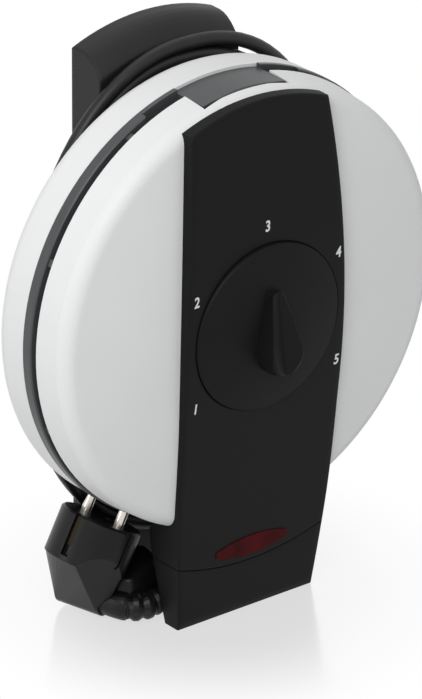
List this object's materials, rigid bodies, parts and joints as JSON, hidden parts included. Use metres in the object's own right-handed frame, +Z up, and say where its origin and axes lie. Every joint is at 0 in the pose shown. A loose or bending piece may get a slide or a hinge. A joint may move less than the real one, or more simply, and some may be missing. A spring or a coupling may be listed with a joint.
{
  "type": "donut maker",
  "caption": "Electric maker for small ring donuts, stored upright: two hinged round halves with baking plates, a thermostat dial, a handle band and a cord wound behind.",
  "frame": {"origin": "centre of the rigid appliance's box in plan, on the floor that its rear foot stands on", "axes": "+Z up as it stands for storage, +Y from the lid towards the rear foot, +X to the right of the dial as a user faces it"},
  "size_m": [0.2176, 0.1097, 0.2722],
  "materials": {
    "white_shell": "smooth white with a soft gloss",
    "rim_plastic": "dark grey heat-resistant plastic",
    "band_plastic": "satin charcoal black",
    "black_plastic": "satin black",
    "baking_plate": "dark non-stick coating on cast aluminium",
    "heater_steel": "dull tube steel",
    "sheet_aluminium": "plain pressed sheet",
    "ceramic": "unglazed ceramic",
    "black_rubber": "matt",
    "screw_steel": "zinc-plated",
    "cord_sheath": "smooth black sheath",
    "plug_rubber": "moulded, slightly glossy",
    "pin_nickel": "bright nickel",
    "contact_brass": "bare brass",
    "red_lens": "deep red clear plastic",
    "lamp_glass": "small neon lamp"
  },
  "bodies": {
    "base": {"base_shell": "white_shell", "base_rim": "rim_plastic", "rim_spacers": "rim_plastic", "lower_plate": "baking_plate", "lower_wells": "baking_plate", "lower_rod_beds": "baking_plate", "lower_heater": "heater_steel", "heat_shield": "sheet_aluminium", "terminal_block": "ceramic", "cord_spool": "black_plastic", "cord_grommet": "black_rubber", "rear_foot": "black_plastic", "foot_pads": "black_rubber", "base_screws": "screw_steel", "rim_screws": "screw_steel", "hinge_pin": "screw_steel", "plug_dock": "black_plastic", "cord_coil": "cord_sheath", "cord_tail": "cord_sheath", "plug_body": "plug_rubber", "plug_pins": "pin_nickel", "plug_earth_clips": "contact_brass", "plug_sleeve": "plug_rubber"},
    "lid": {"lid_shell": "white_shell", "lid_frame": "rim_plastic", "upper_plate": "baking_plate", "upper_wells": "baking_plate", "upper_rod_beds": "baking_plate", "upper_heater": "heater_steel", "lid_screws": "screw_steel", "lid_band": "band_plastic", "handle_tip": "band_plastic", "lamp_lens": "red_lens", "indicator_lamp": "lamp_glass", "thermostat": "ceramic"},
    "dial": {"dial_knob": "band_plastic", "dial_shaft": "screw_steel"}
  },
  "joints": [
    {"name": "lid_hinge", "type": "hinge", "parent": "base", "child": "lid", "pos_m": [0, -0.011, 0.2505], "axis": [-1, 0, 0], "range_deg": [0, 100]},
    {"name": "dial_turn", "type": "hinge", "parent": "lid", "child": "dial", "pos_m": [0, -0.0392, 0.1481], "axis": [0, -0.9995, -0.0332], "range_deg": [-120, 120]}
  ]
}
